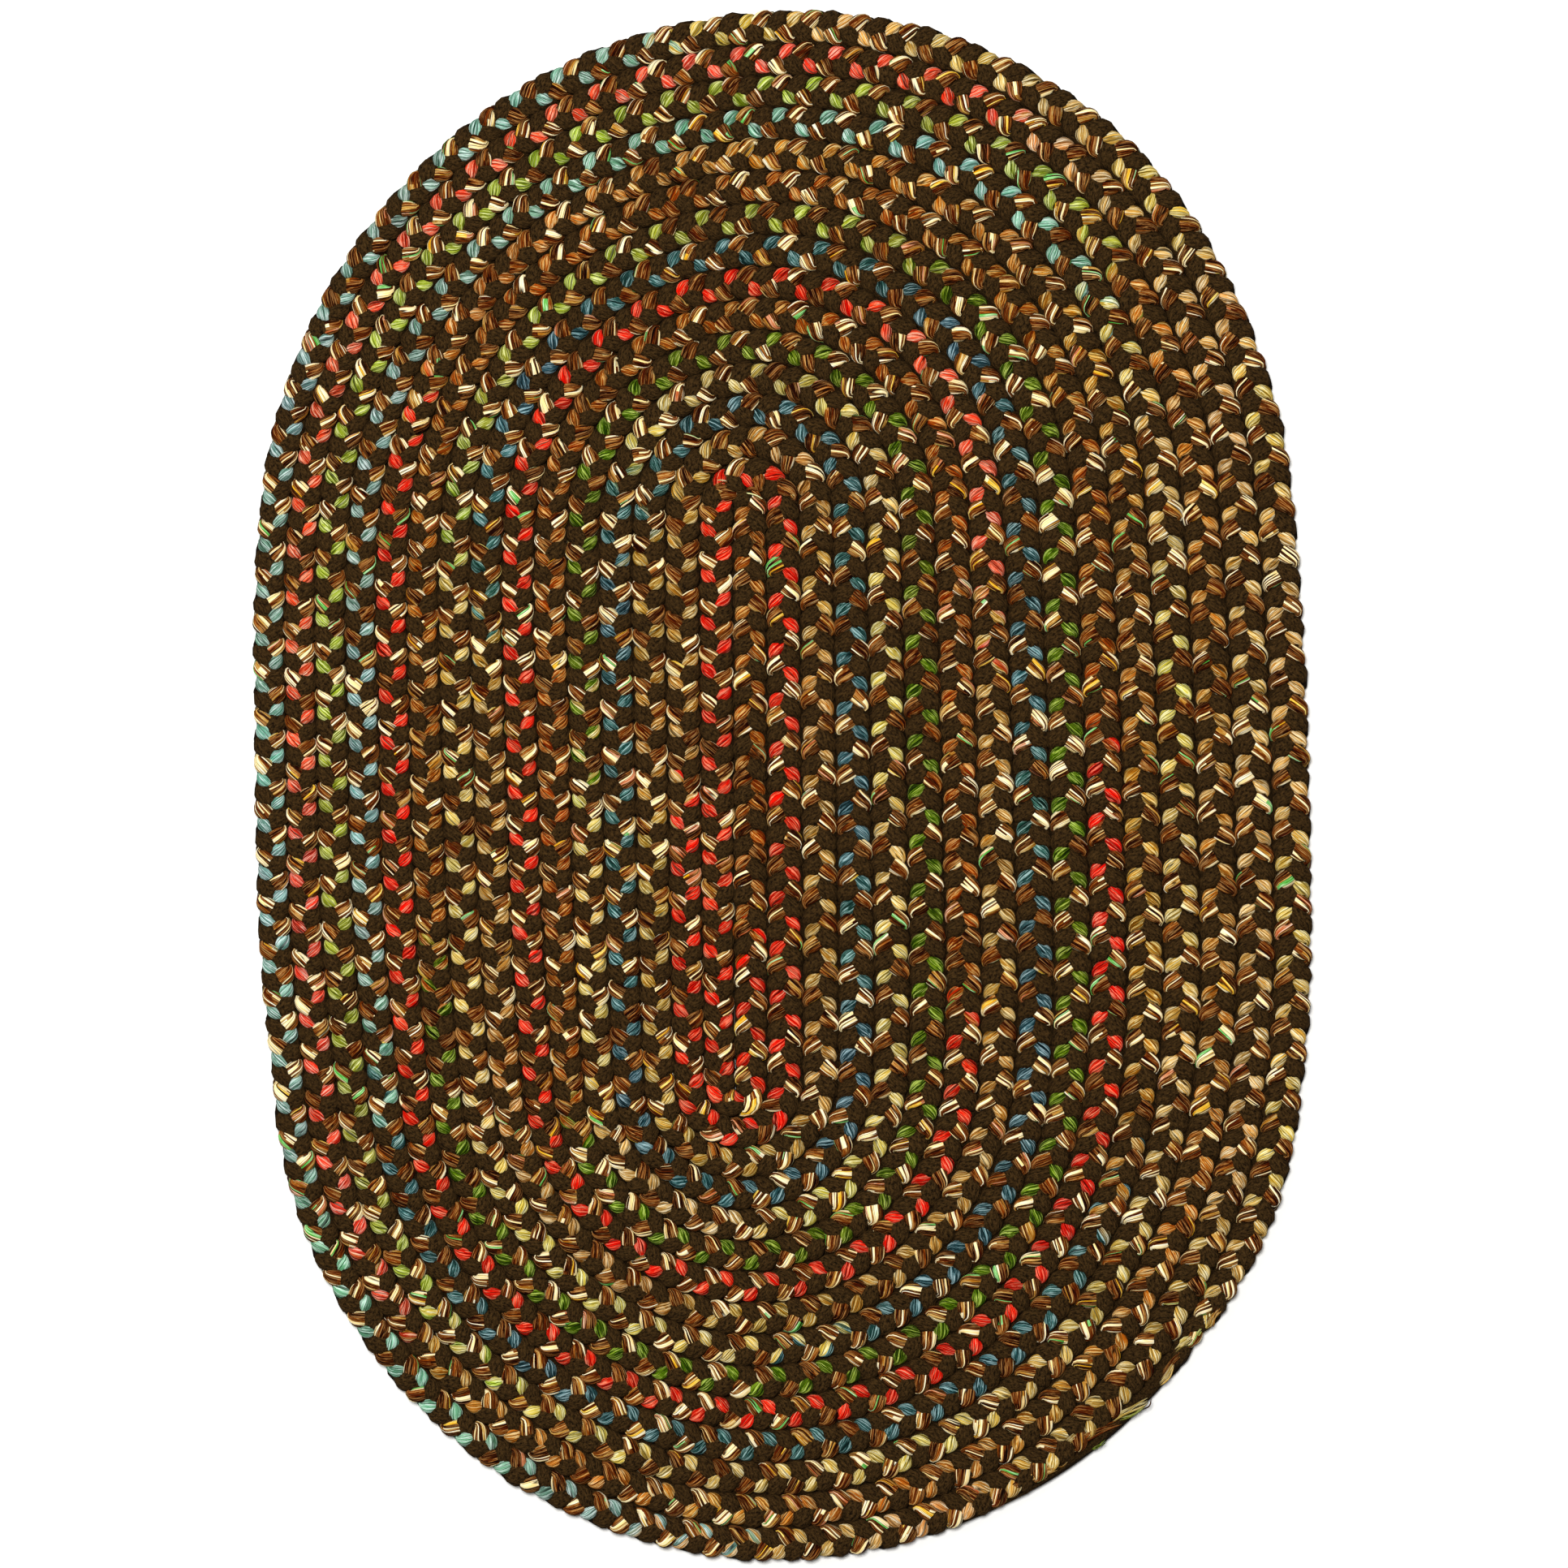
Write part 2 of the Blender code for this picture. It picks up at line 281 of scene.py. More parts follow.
def stretch(x, y):
    """Even spiral to real rug.  The distance from the core, in nominal
    widths, becomes the sum of the real widths on the way."""
    core_y = np.clip(y, CORE_BOTTOM, CORE_TOP)
    off_x, off_y = x - CORE_X, y - core_y
    distance = np.hypot(off_x, off_y)
    down = (CORE_TOP - core_y) / (CORE_TOP - CORE_BOTTOM)
    angle = np.arctan2(np.abs(off_y), off_x) / np.pi
    place = np.where(off_x >= 0.0, STRAIGHT_SHARE * down,
                     0.5 + STRAIGHT_SHARE * (1.0 - down))
    place = np.where(y < CORE_BOTTOM, STRAIGHT_SHARE + TURN_SHARE * angle, place)
    place = np.where(y > CORE_TOP, 1.0 - TURN_SHARE * angle, place)
    rounds = distance / NOMINAL_WIDTH
    at_core = smooth_around(place, 1) * MILLIMETRE
    at_rim = smooth_around(place, 2) * MILLIMETRE
    widening = (at_rim - at_core) / (2.0 * (LAST_ROUND + 0.5))
    real = at_core * rounds + widening * rounds ** 2
    scale = np.divide(real, distance, out=np.ones_like(real), where=distance > 0.0)
    return CORE_X + off_x * scale, core_y + off_y * scale


def width_left(step):
    """Share of its full width that the braid still has at a station."""
    turned = (step - LAST_ROUND * ROUND_STEPS - STRAIGHT_STEPS) / TURN_STEPS * np.pi
    share = np.clip((TAPER_TO - turned) / (TAPER_TO - TAPER_FROM), 0.0, 1.0)
    return share ** TAPER_POWER


def braid_point(step, side, inset=1.0):
    """Points on the braid by station and side, -1 the inner edge, 1 the outer.

    Two straight runs and two half turns a round.  The lower turns have their
    centre half a width beside the core, so each round moves out by one width.
    """
    step, side, inset = np.broadcast_arrays(
        np.asarray(step, float), np.asarray(side, float), inset)
    rounds = np.maximum(np.floor(step / ROUND_STEPS), 0.0)
    rest = step - rounds * ROUND_STEPS
    across = 0.5 * ((side + 1.0) * width_left(step) * inset - 1.0)
    width = NOMINAL_WIDTH
    core_length = CORE_TOP - CORE_BOTTOM
    lower_turn = STRAIGHT_STEPS
    left_run = lower_turn + TURN_STEPS
    upper_turn = left_run + STRAIGHT_STEPS

    x = CORE_X + (rounds + across) * width
    y = CORE_TOP - core_length * rest / STRAIGHT_STEPS
    angle = (rest - lower_turn) / TURN_STEPS * np.pi
    radius = np.maximum((rounds + 0.5 + across) * width, 0.03 * width)
    here = rest >= lower_turn
    x = np.where(here, CORE_X - 0.5 * width + radius * np.cos(angle), x)
    y = np.where(here, CORE_BOTTOM - radius * np.sin(angle), y)
    out = (rounds + 1.0 + across) * width
    here = rest >= left_run
    x = np.where(here, CORE_X - out, x)
    y = np.where(here, CORE_BOTTOM + core_length * (rest - left_run) / STRAIGHT_STEPS, y)
    angle = (rest - upper_turn) / TURN_STEPS * np.pi
    here = rest >= upper_turn
    x = np.where(here, CORE_X - out * np.cos(angle), x)
    y = np.where(here, CORE_TOP + out * np.sin(angle), y)
    return stretch(x, y)


class Braid:
    """The braid's middle line as tables: real length, station, half width
    and turn of the plait, which grows by a full turn in each pitch."""

    def __init__(self, pitch):
        step = np.linspace(-0.2, LAST_STEP - 0.05, 60001)
        x, y = braid_point(step, 0.0)
        run = np.concatenate([[0.0], np.cumsum(np.hypot(np.diff(x), np.diff(y)))])
        self.step = step
        self.length = run - np.interp(0.0, step, run)
        inner, outer = braid_point(step, -1.0), braid_point(step, 1.0)
        self.half_width = 0.5 * np.hypot(outer[0] - inner[0], outer[1] - inner[1])
        share = np.mod(step / ROUND_STEPS, 1.0)
        local = pitch * np.interp(share, PITCH_AROUND[:, 0], PITCH_AROUND[:, 1])
        local = local / (TAIL_PITCH + (1.0 - TAIL_PITCH) * width_left(step))
        rate = 2.0 * np.pi / local
        turn = np.cumsum(0.5 * (rate[1:] + rate[:-1]) * np.diff(self.length))
        self.turn = np.concatenate([[0.0], turn])

    def at(self, length, table):
        """A table's values at lengths along the braid."""
        return np.interp(length, self.length, table)

    def length_at_round(self, rounds):
        """Lengths along the braid by rounds from its start."""
        return np.interp(np.asarray(rounds) * ROUND_STEPS, self.step, self.length)


def wander(length, spacing, seed, count=1):
    """Smooth random values from -1 to 1 along a length: random knots, joined
    by curves that are level at each knot."""
    place = (length - length[0]) / spacing
    knot = np.floor(place).astype(int)
    t = place - knot
    t = (t * t * (3.0 - 2.0 * t))[:, None]
    value = np.random.default_rng(seed).uniform(-1.0, 1.0, (knot[-1] + 2, count))
    return value[knot] * (1.0 - t) + value[knot + 1] * t


# ---------------------------------------------------------------- meshes

def tube(rings, colours, along):
    """Closed tube through rings of points, with a pole at each end.

    Returns corners, faces, UV and colours.  U is millimetres along the tube
    and V the share of the way around it.
    """
    stations, points = rings.shape[:2]
    poles = [rings[0].mean(axis=0), rings[-1].mean(axis=0)]
    corners = np.concatenate([rings.reshape(-1, 3), poles])
    i, j = np.meshgrid(np.arange(stations - 1), np.arange(points), indexing="ij")
    right = (j + 1) % points
    quads = np.stack([i * points + j, i * points + right,
                      (i + 1) * points + right, (i + 1) * points + j], axis=-1)
    u = along / MILLIMETRE
    v = np.arange(points + 1) / points
    quad_uv = np.stack([
        np.stack([u[i], v[j]], -1), np.stack([u[i], v[j + 1]], -1),
        np.stack([u[i + 1], v[j + 1]], -1), np.stack([u[i + 1], v[j]], -1)], axis=2)
    quad_colour = np.stack([colours[i, j], colours[i, j],
                            colours[i + 1, j], colours[i + 1, j]], axis=2)

    j = np.arange(points)
    last = (stations - 1) * points
    fans, fan_uv, fan_colour = [], [], []
    for ring, pole, ahead in ((0, 0, False), (last, 1, True)):
        near, far = ring + j, ring + (j + 1) % points
        first, second = (near, far) if ahead else (far, near)
        fans.append(np.stack([first, second, np.full(points, stations * points + pole)], -1))
        at = stations - 1 if ahead else 0
        fan_uv.append(np.stack([np.stack([np.full(points, u[at]), v[j]], -1)] * 3, axis=1))
        fan_colour.append(np.stack([colours[at]] * 3, axis=1))
    return {
        "corners": corners,
        "quads": quads.reshape(-1, 4),
        "fans": np.concatenate(fans),
        "uv": np.concatenate([quad_uv.reshape(-1, 2), np.concatenate(fan_uv).reshape(-1, 2)]),
        "colour": np.concatenate([quad_colour.reshape(-1, 3),
                                  np.concatenate(fan_colour).reshape(-1, 3)]),
    }


def add_piece(name, material, tubes):
    """One mesh object from closed tubes, with its UV map and yarn colours."""
    first = np.cumsum([0] + [len(t["corners"]) for t in tubes])
    corners = np.concatenate([t["corners"] for t in tubes])
    loops, sizes, uv, colour = [], [], [], []
    for offset, part in zip(first, tubes):
        loops += [(part["quads"] + offset).ravel(), (part["fans"] + offset).ravel()]
        sizes += [np.full(len(part["quads"]), 4), np.full(len(part["fans"]), 3)]
        uv.append(part["uv"])
        colour.append(part["colour"])
    loops, sizes = np.concatenate(loops), np.concatenate(sizes)
    uv, colour = np.concatenate(uv), np.concatenate(colour)

    mesh = bpy.data.meshes.new(name)
    mesh.vertices.add(len(corners))
    mesh.vertices.foreach_set("co", corners.astype(np.float32).ravel())
    mesh.loops.add(len(loops))
    mesh.loops.foreach_set("vertex_index", loops.astype(np.int32))
    mesh.polygons.add(len(sizes))
    starts = np.concatenate([[0], np.cumsum(sizes)[:-1]])
    mesh.polygons.foreach_set("loop_start", starts.astype(np.int32))
    mesh.update(calc_edges=True)
    layer = mesh.uv_layers.new(name="yarn_map")
    layer.uv.foreach_set("vector", uv.astype(np.float32).ravel())
    attribute = mesh.color_attributes.new("yarn_colour", "BYTE_COLOR", "CORNER")
    rgba = np.ones((len(colour), 4), np.float32)
    rgba[:, :3] = colour
    attribute.data.foreach_set("color", rgba.ravel())
    mesh.validate()
    mesh.shade_smooth()
    return place_piece(name, mesh, material)


def place_piece(name, mesh, material):
    """An object of the mesh at the origin, which rides on the rug's root."""
    mesh.materials.append(material)
    piece = bpy.data.objects.new(name, mesh)
    bpy.context.scene.collection.objects.link(piece)
    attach(piece, "root")
    return piece


# ---------------------------------------------------------------- strands

def strand_rings(braid, length, lay, width, height, goes_on, sizes):
    """Rings of points around one strand, carried along its plaited path.

    Along the braid the strand swings from edge to edge nearly as a zigzag, a
    sine of the turn with a little of its third and fifth harmonics.  It rises
    and falls as the sine of twice the turn, less a delay that fades towards
    the edge, so it is on top on its way out and below on its way back.  Around
    it the points lie on an ellipse with low ridges, worked out in the braid's
    own length, side and height, and wound up last.
    """
    share = width_left(braid.at(length, braid.step))
    thin = np.sqrt(share)
    alone = np.clip((ALONE_FROM - share) / (ALONE_FROM - ALONE_TO), 0.0, 1.0)
    alone = alone * alone * (3.0 - 2.0 * alone)
    half = braid.at(length, braid.half_width)
    vary = wander(length, UNEVEN_LENGTH, lay.seed, 4)
    turn = braid.at(length, braid.turn) + np.radians(lay.phase) + UNEVEN_TURN * vary[:, 0]
    tuck = np.sqrt(np.clip(1.0 - (np.minimum(length, 0.0) / START_TUCK) ** 2, 0.02, 1.0))

    swing = np.sin(turn) - ZIGZAG[0] * np.sin(3.0 * turn) + ZIGZAG[1] * np.sin(5.0 * turn)
    swing /= 1.0 + sum(ZIGZAG)
    reach = np.maximum(lay.outer_edge * half - 0.5 * (1.0 - lay.narrowing) * width, 0.0)
    across = reach * (1.0 + UNEVEN_SWING * vary[:, 1]) * swing
    across *= tuck * (1.0 - alone)
    double = 2.0 * turn - lay.late_rise * np.cos(turn) ** 2
    lift = np.sin(double) + TOP_FLATNESS * np.sin(3.0 * double)
    z = (MIDDLE_HEIGHT * (0.90 + 0.10 * thin) + lay.level * (1.0 - alone)
         + sizes.rise * (1.0 - alone) * lift * (1.0 + UNEVEN_RISE * vary[:, 2]))
    path = np.stack([length, across, z], axis=-1)
    tangent = np.gradient(path, length, axis=0)
    tangent /= np.linalg.norm(tangent, axis=1, keepdims=True)
    normal = np.stack([-tangent[:, 1], tangent[:, 0], np.zeros_like(z)], axis=-1)
    normal[1:-1] = normal[:-2] + 2.0 * normal[1:-1] + normal[2:]
    normal /= np.linalg.norm(normal, axis=1, keepdims=True)
    up = np.cross(tangent, normal)
    up /= np.linalg.norm(up, axis=1, keepdims=True)

    at_edge = swing ** EDGE_POWER
    on_top = np.sin(double) ** 2
    ends = np.minimum(length - length[0], length[-1] - length) / END_ROUNDING
    ends = np.sqrt(np.clip(ends, 0.01, 1.0))
    half_width = 0.5 * width * (1.0 - lay.taper * (1.0 - on_top)) * ends
    half_width *= (1.0 - lay.narrowing * at_edge) * (1.0 + UNEVEN_WIDTH * vary[:, 3])
    half_height = 0.5 * height * (1.0 + EDGE_HEIGHTENING * at_edge) * ends
    if goes_on:
        half_width = half_width * (1.0 - alone) + TAIL_WIDTH * half * ends * alone
        half_height = half_height * (1.0 - alone) + TAIL_HEIGHT * np.sqrt(thin) * ends * alone
    else:
        half_width *= 0.5 + 0.5 * thin - 0.3 * alone

    point = np.arange(2 * RIDGES)
    uneven_twist = wander(length, UNEVEN_TWIST_LENGTH, lay.seed + 1)[:, 0]
    twisted = length / sizes.twist_length + UNEVEN_TWIST * uneven_twist
    angle = 2.0 * np.pi * (point / (2.0 * RIDGES) + twisted[:, None])
    bulge = np.where(point % 2 == 1, RIDGE_CREST, RIDGE_TROUGH)
    sideways = (half_width[:, None] * np.cos(angle) * bulge)[..., None]
    upwards = (half_height[:, None] * np.sin(angle) * bulge)[..., None]
    around = path[:, None] + sideways * normal[:, None] + upwards * up[:, None]

    step = braid.at(around[..., 0], braid.step)
    side = around[..., 1] / braid.at(around[..., 0], braid.half_width).clip(0.0012)
    x, y = braid_point(step, side)
    return np.stack([x, y, np.maximum(around[..., 2], 0.0)], axis=-1)


def strand_stations(braid, lay, goes_on):
    """Lengths along the braid of one strand's rings, closer where it is on top."""
    phase = np.radians(lay.phase)
    first = braid.at(-START_TUCK, braid.turn) + phase
    last = braid.turn[-1] + phase
    if not goes_on:
        last = braid.turn[width_left(braid.step) > LIGHTER_END][-1] + phase
    even = np.linspace(first, last, int((last - first) / (2.0 * np.pi) * STATIONS_PER_PITCH))
    turn = even + CROWDING * np.cos(2.0 * even - lay.late_rise - CROWDING_DELAY)
    turn = np.clip(turn, first, last)
    turn[0], turn[-1] = first, last
    return np.unique(np.interp(turn - phase, braid.turn, braid.length))


def add_strand(name, braid, sizes, width, height, lay, colours, material, goes_on=False):
    """Both pieces of one strand.  It is parted near the middle of its length,
    where it passes below the others.  The strand that goes on has the tail to
    itself when the other two have ended."""
    length = strand_stations(braid, lay, goes_on)
    rings = strand_rings(braid, length, lay, width, height, goes_on, sizes)
    turn = braid.at(length, braid.turn) + np.radians(lay.phase)
    below = np.sin(2.0 * turn - lay.late_rise) < -0.9
    middle = np.nonzero(below & (length > 0.5 * length[-1]))[0][0]
    for part, first, last in (("inner", 0, middle), ("outer", middle, len(length) - 1)):
        part_of = slice(first, last + 1)
        add_piece(f"{name}_{part}", material, [
            tube(rings[part_of], colours(length)[part_of], length[part_of])])


def loose_yarn_tubes(colours):
    """The bundles of LOOSE_YARN as tubes.  Each yarn bows sideways as a sine
    of the way along it, and both of its ends are tucked down, by the sixth
    power of the distance from its middle."""
    chance = np.random.default_rng(41)
    t = np.linspace(0.0, 1.0, LOOSE_STATIONS)[:, None]
    around = np.arange(LOOSE_SIDES) / LOOSE_SIDES * 2.0 * np.pi
    tubes = []
    for *ends, bow, yarns, thick, colour in LOOSE_YARN:
        start, end = np.array(ends[:3]), np.array(ends[3:])
        ahead = (end - start) / np.linalg.norm(end - start)
        left = np.array([-ahead[1], ahead[0], 0.0])
        for yarn in range(yarns):
            offset = (yarn - 0.5 * (yarns - 1)) * LOOSE_SPREAD * thick
            slip = chance.uniform(-LOOSE_SLIP, LOOSE_SLIP, 2) * np.linalg.norm(end - start)
            wave = chance.uniform(-LOOSE_WAVE, LOOSE_WAVE, 3)
            path = (start + slip[0] * ahead) * (1.0 - t) + (end + slip[1] * ahead) * t
            sideways = offset + bow * np.sin(np.pi * t) + wave[0] * np.sin(
                2.0 * np.pi * (t + wave[1]))
            path = path + sideways * left
            path[:, 2:] += 0.5 * wave[2] - LOOSE_TUCK * (2.0 * t - 1.0) ** 6
            radius = 0.5 * thick * chance.uniform(0.7, 1.2) * np.clip(
                3.0 * (1.0 - np.abs(2.0 * t - 1.0)), 0.35, 1.0)
            rings = path[:, None] + radius[..., None] * (
                np.cos(around)[None, :, None] * left
                + np.sin(around)[None, :, None] * np.array([0.0, 0.0, 1.0]))
            shade = chance.uniform(0.55, 1.25)
            skin = np.tile(np.clip(shade * np.array(getattr(colours, colour)), 0.0, 1.0),
                           (LOOSE_STATIONS, LOOSE_SIDES, 1))
            tubes.append(tube(rings * MILLIMETRE, skin, t[:, 0] * 0.012 + 0.02 * yarn))
    return tubes


def run_colours(braid, colours):
    """Colours of the space-dyed yarns along the strand: each yarn changes
    near the start of a run, a little before or after the others."""
    starts = braid.length_at_round([start for start, _ in ACCENT_RUNS])
    palette = np.array([getattr(colours, name) for _, name in ACCENT_RUNS])

    def at(length):
        scatter = np.random.default_rng(31).uniform(-1.0, 1.0, (len(starts), YARNS))
        shade = 1.0 + YARN_SHADE * wander(length, YARN_SHADE_LENGTH, 32, YARNS)
        tint = 1.0 + STRAND_TINT * wander(length, STRAND_TINT_LENGTH, 33, 3)
        result = np.zeros((len(length), YARNS, 3))
        for yarn in range(YARNS):
            changes = np.sort(starts + RUN_SCATTER * scatter[:, yarn])
            for shift in np.linspace(-0.5, 0.5, BLEND_STEPS) * RUN_BLEND:
                run = np.searchsorted(changes, length + shift, side="right") - 1
                result[:, yarn] += palette[np.maximum(run, 0)] / BLEND_STEPS
        return np.clip(result * shade[..., None] * tint[:, None], 0.0, 1.0)
    return at


def plain_colours(colour):
    """The same colour for every yarn, for a strand whose material has its own."""
    def at(length):
        return np.tile(np.array(colour), (len(length), YARNS, 1))
    return at


# ---------------------------------------------------------------- materials

def add_node(tree, kind, settings=None, inputs=None):
    """Adds a node with its settings.  An input is a value, or the output
    socket that it is linked to."""
    node = tree.nodes.new(kind)
    for key, value in (settings or {}).items():
        setattr(node, key, value)
    for key, value in (inputs or {}).items():
        if isinstance(value, bpy.types.NodeSocket):
            tree.links.new(value, node.inputs[key])
        else:
            node.inputs[key].default_value = value
    return node


def new_material(name, roughness):
    """Empty material with its shader, matt and nearly without a reflection."""
    material = bpy.data.materials.new(name)
    material.use_nodes = True
    tree = material.node_tree
    shader = tree.nodes["Principled BSDF"]
    shader.inputs["Roughness"].default_value = roughness
    shader.inputs["Specular IOR Level"].default_value = 0.05
    return material, tree, shader


SHADED_BELOW = 0.0005       # distances from the rug's middle height, metres
LIT_ABOVE = 0.0030


def depth_shade(tree, deepest):
    """From 1 on the rug's two faces down to deepest in the plait's hollows,
    where the wool shades itself."""
    place = add_node(tree, "ShaderNodeTexCoord")
    height = add_node(tree, "ShaderNodeSeparateXYZ", None, {0: place.outputs["Object"]})
    from_middle = add_node(tree, "ShaderNodeMath", {"operation": "SUBTRACT"}, {
        0: height.outputs["Z"], 1: MIDDLE_HEIGHT})
    away = add_node(tree, "ShaderNodeMath", {"operation": "ABSOLUTE"}, {
        0: from_middle.outputs[0]})
    return add_node(tree, "ShaderNodeMapRange", {"interpolation_type": "SMOOTHSTEP"}, {
        "Value": away.outputs[0], "From Min": SHADED_BELOW, "From Max": LIT_ABOVE,
        "To Min": deepest, "To Max": 1.0}).outputs[0]


# A mix that multiplies input 6 by input 7, wholly when input 0 is 1
MULTIPLY = {"data_type": "RGBA", "blend_type": "MULTIPLY"}


def yarn_wool(name, colour_from, yarns, streaks, dark, light, crease_shade):
    """Wool in yarns laid side by side: fibre streaks along each yarn, and painted shade, a
    darker colour, in the crease where two yarns meet.

    colour_from(tree, u, yarn) gives the colour before streaks and creases.
    A streak is the colour raised to a power, from dark, above 1, to light,
    below 1, so that it also gets richer or paler.  Fibres are 0.03 mm thick;
    the streaks are drawn about ten times coarser, to be seen from the camera.
    """
    material, tree, shader = new_material(name, 0.9)
    uv = add_node(tree, "ShaderNodeUVMap", {"uv_map": "yarn_map"})
    split = add_node(tree, "ShaderNodeSeparateXYZ", None, {0: uv.outputs[0]})
    # The yarns wander sideways about every 20 mm
    wave = add_node(tree, "ShaderNodeTexNoise", {"noise_dimensions": "2D"}, {
        "Vector": add_node(tree, "ShaderNodeMapping", None, {
            "Vector": uv.outputs[0], "Scale": (0.05, 7.0, 1.0)}).outputs[0],
        "Scale": 1.0, "Detail": 1.0})
    wobble = add_node(tree, "ShaderNodeMath", {"operation": "MULTIPLY_ADD"}, {
        0: wave.outputs[0], 1: 0.20, 2: split.outputs["Y"]})
    yarn = add_node(tree, "ShaderNodeMath", {"operation": "MULTIPLY"}, {
        0: wobble.outputs[0], 1: float(yarns)})
    colour = colour_from(tree, split.outputs["X"], yarn.outputs[0])

    # Streaks of about 6 mm; streaks gives how many there are around the strand
    streak = add_node(tree, "ShaderNodeTexNoise", {"noise_dimensions": "2D"}, {
        "Vector": add_node(tree, "ShaderNodeMapping", None, {
            "Vector": uv.outputs[0], "Scale": (0.17, streaks, 1.0)}).outputs[0],
        "Scale": 1.0, "Detail": 4.0, "Roughness": 0.7, "Distortion": 0.5})
    power = add_node(tree, "ShaderNodeMapRange", None, {
        "Value": streak.outputs[0], "From Min": 0.41, "From Max": 0.59,
        "To Min": dark, "To Max": light})
    streaked = add_node(tree, "ShaderNodeGamma", None, {
        "Color": colour, "Gamma": power.outputs[0]})

    # 0 where two yarns meet, 0.5 on the middle of each
    border = add_node(tree, "ShaderNodeMath", {"operation": "PINGPONG"}, {
        0: yarn.outputs[0], 1: 0.5})
    # Painted shade: the colour darkens near each yarn's border to the given crease darkness,
    # as shade falls in the crease between two yarns; the same mask also gives the creases
    # their relief
    crease = add_node(tree, "ShaderNodeMapRange", {"interpolation_type": "SMOOTHSTEP"}, {
        "Value": border.outputs[0], "From Min": 0.0, "From Max": 0.17,
        "To Min": crease_shade, "To Max": 1.0})
    crease_shaded = add_node(tree, "ShaderNodeMix", MULTIPLY, {
        0: 1.0, 6: streaked.outputs[0], 7: crease.outputs[0]})
    shaded = add_node(tree, "ShaderNodeMix", MULTIPLY, {
        0: 1.0, 6: crease_shaded.outputs[2], 7: depth_shade(tree, 0.22)})
    tree.links.new(shaded.outputs[2], shader.inputs["Base Color"])

    # Half a millimetre of relief from streaks and creases together
    height = add_node(tree, "ShaderNodeMath", {"operation": "ADD"}, {
        0: streak.outputs[0], 1: crease.outputs[0]})
    bump = add_node(tree, "ShaderNodeBump", None, {
        "Height": height.outputs[0], "Strength": 0.7, "Distance": 0.0005})
    tree.links.new(bump.outputs[0], shader.inputs["Normal"])
    return material


def attribute_colour(tree, u, yarn):
    """The colour that the mesh holds for each yarn."""
    return add_node(tree, "ShaderNodeVertexColor", {"layer_name": "yarn_colour"}).outputs[0]


TWEED_SPANS = (90.0, 24.0)  # mm for which a yarn keeps its part of the scale, and its place
TWEED_SPAN_SHARES = (0.65, 0.35)
TWEED_OFFSET = 10.0         # spans by which one yarn's changes are ahead of another's
TWEED_STEPS = [
    # where each colour starts on a scale from 0 to 1
    ("tweed_dark", 0.00), ("tweed_brown", 0.34), ("tweed_copper", 0.60),
    ("tweed_tan", 0.65), ("tweed_cream", 0.69), ("tweed_mint", 0.775),
    ("tweed_cream", 0.790), ("tweed_yellow", 0.885), ("tweed_pink", 0.92),
]


def tweed_colour(colours):
    """Random tweed: each yarn keeps to a part of the colour scale for the
    longer span, and moves about within it every shorter span."""
    def colour_from(tree, u, yarn):
        number = add_node(tree, "ShaderNodeMath", {"operation": "FLOOR"}, {0: yarn})
        noises = []
        for span in TWEED_SPANS:
            own = add_node(tree, "ShaderNodeTexWhiteNoise", {"noise_dimensions": "1D"},
                           {"W": number.outputs[0]})
            run = add_node(tree, "ShaderNodeMath", {"operation": "DIVIDE"}, {0: u, 1: span})
            moved = add_node(tree, "ShaderNodeMath", {"operation": "MULTIPLY_ADD"}, {
                0: own.outputs["Value"], 1: TWEED_OFFSET, 2: run.outputs[0]})
            place = add_node(tree, "ShaderNodeMath", {"operation": "FLOOR"}, {
                0: moved.outputs[0]})
            cell = add_node(tree, "ShaderNodeCombineXYZ", None, {
                0: number.outputs[0], 1: place.outputs[0]})
            noises.append(add_node(tree, "ShaderNodeTexWhiteNoise", {
                "noise_dimensions": "2D"}, {"Vector": cell.outputs[0]}))
        small = add_node(tree, "ShaderNodeMath", {"operation": "MULTIPLY"}, {
            0: noises[1].outputs["Value"], 1: TWEED_SPAN_SHARES[1]})
        scale = add_node(tree, "ShaderNodeMath", {"operation": "MULTIPLY_ADD"}, {
            0: noises[0].outputs["Value"], 1: TWEED_SPAN_SHARES[0], 2: small.outputs[0]})
        ramp = add_node(tree, "ShaderNodeValToRGB", None, {0: scale.outputs[0]})
        ramp.color_ramp.interpolation = "CONSTANT"
        stops = ramp.color_ramp.elements
        while len(stops) < len(TWEED_STEPS):
            stops.new(0.5)
        for stop, (name, start) in zip(stops, TWEED_STEPS):
            stop.position = start
            stop.color = (*getattr(colours, name), 1.0)
        return ramp.outputs[0]
    return colour_from


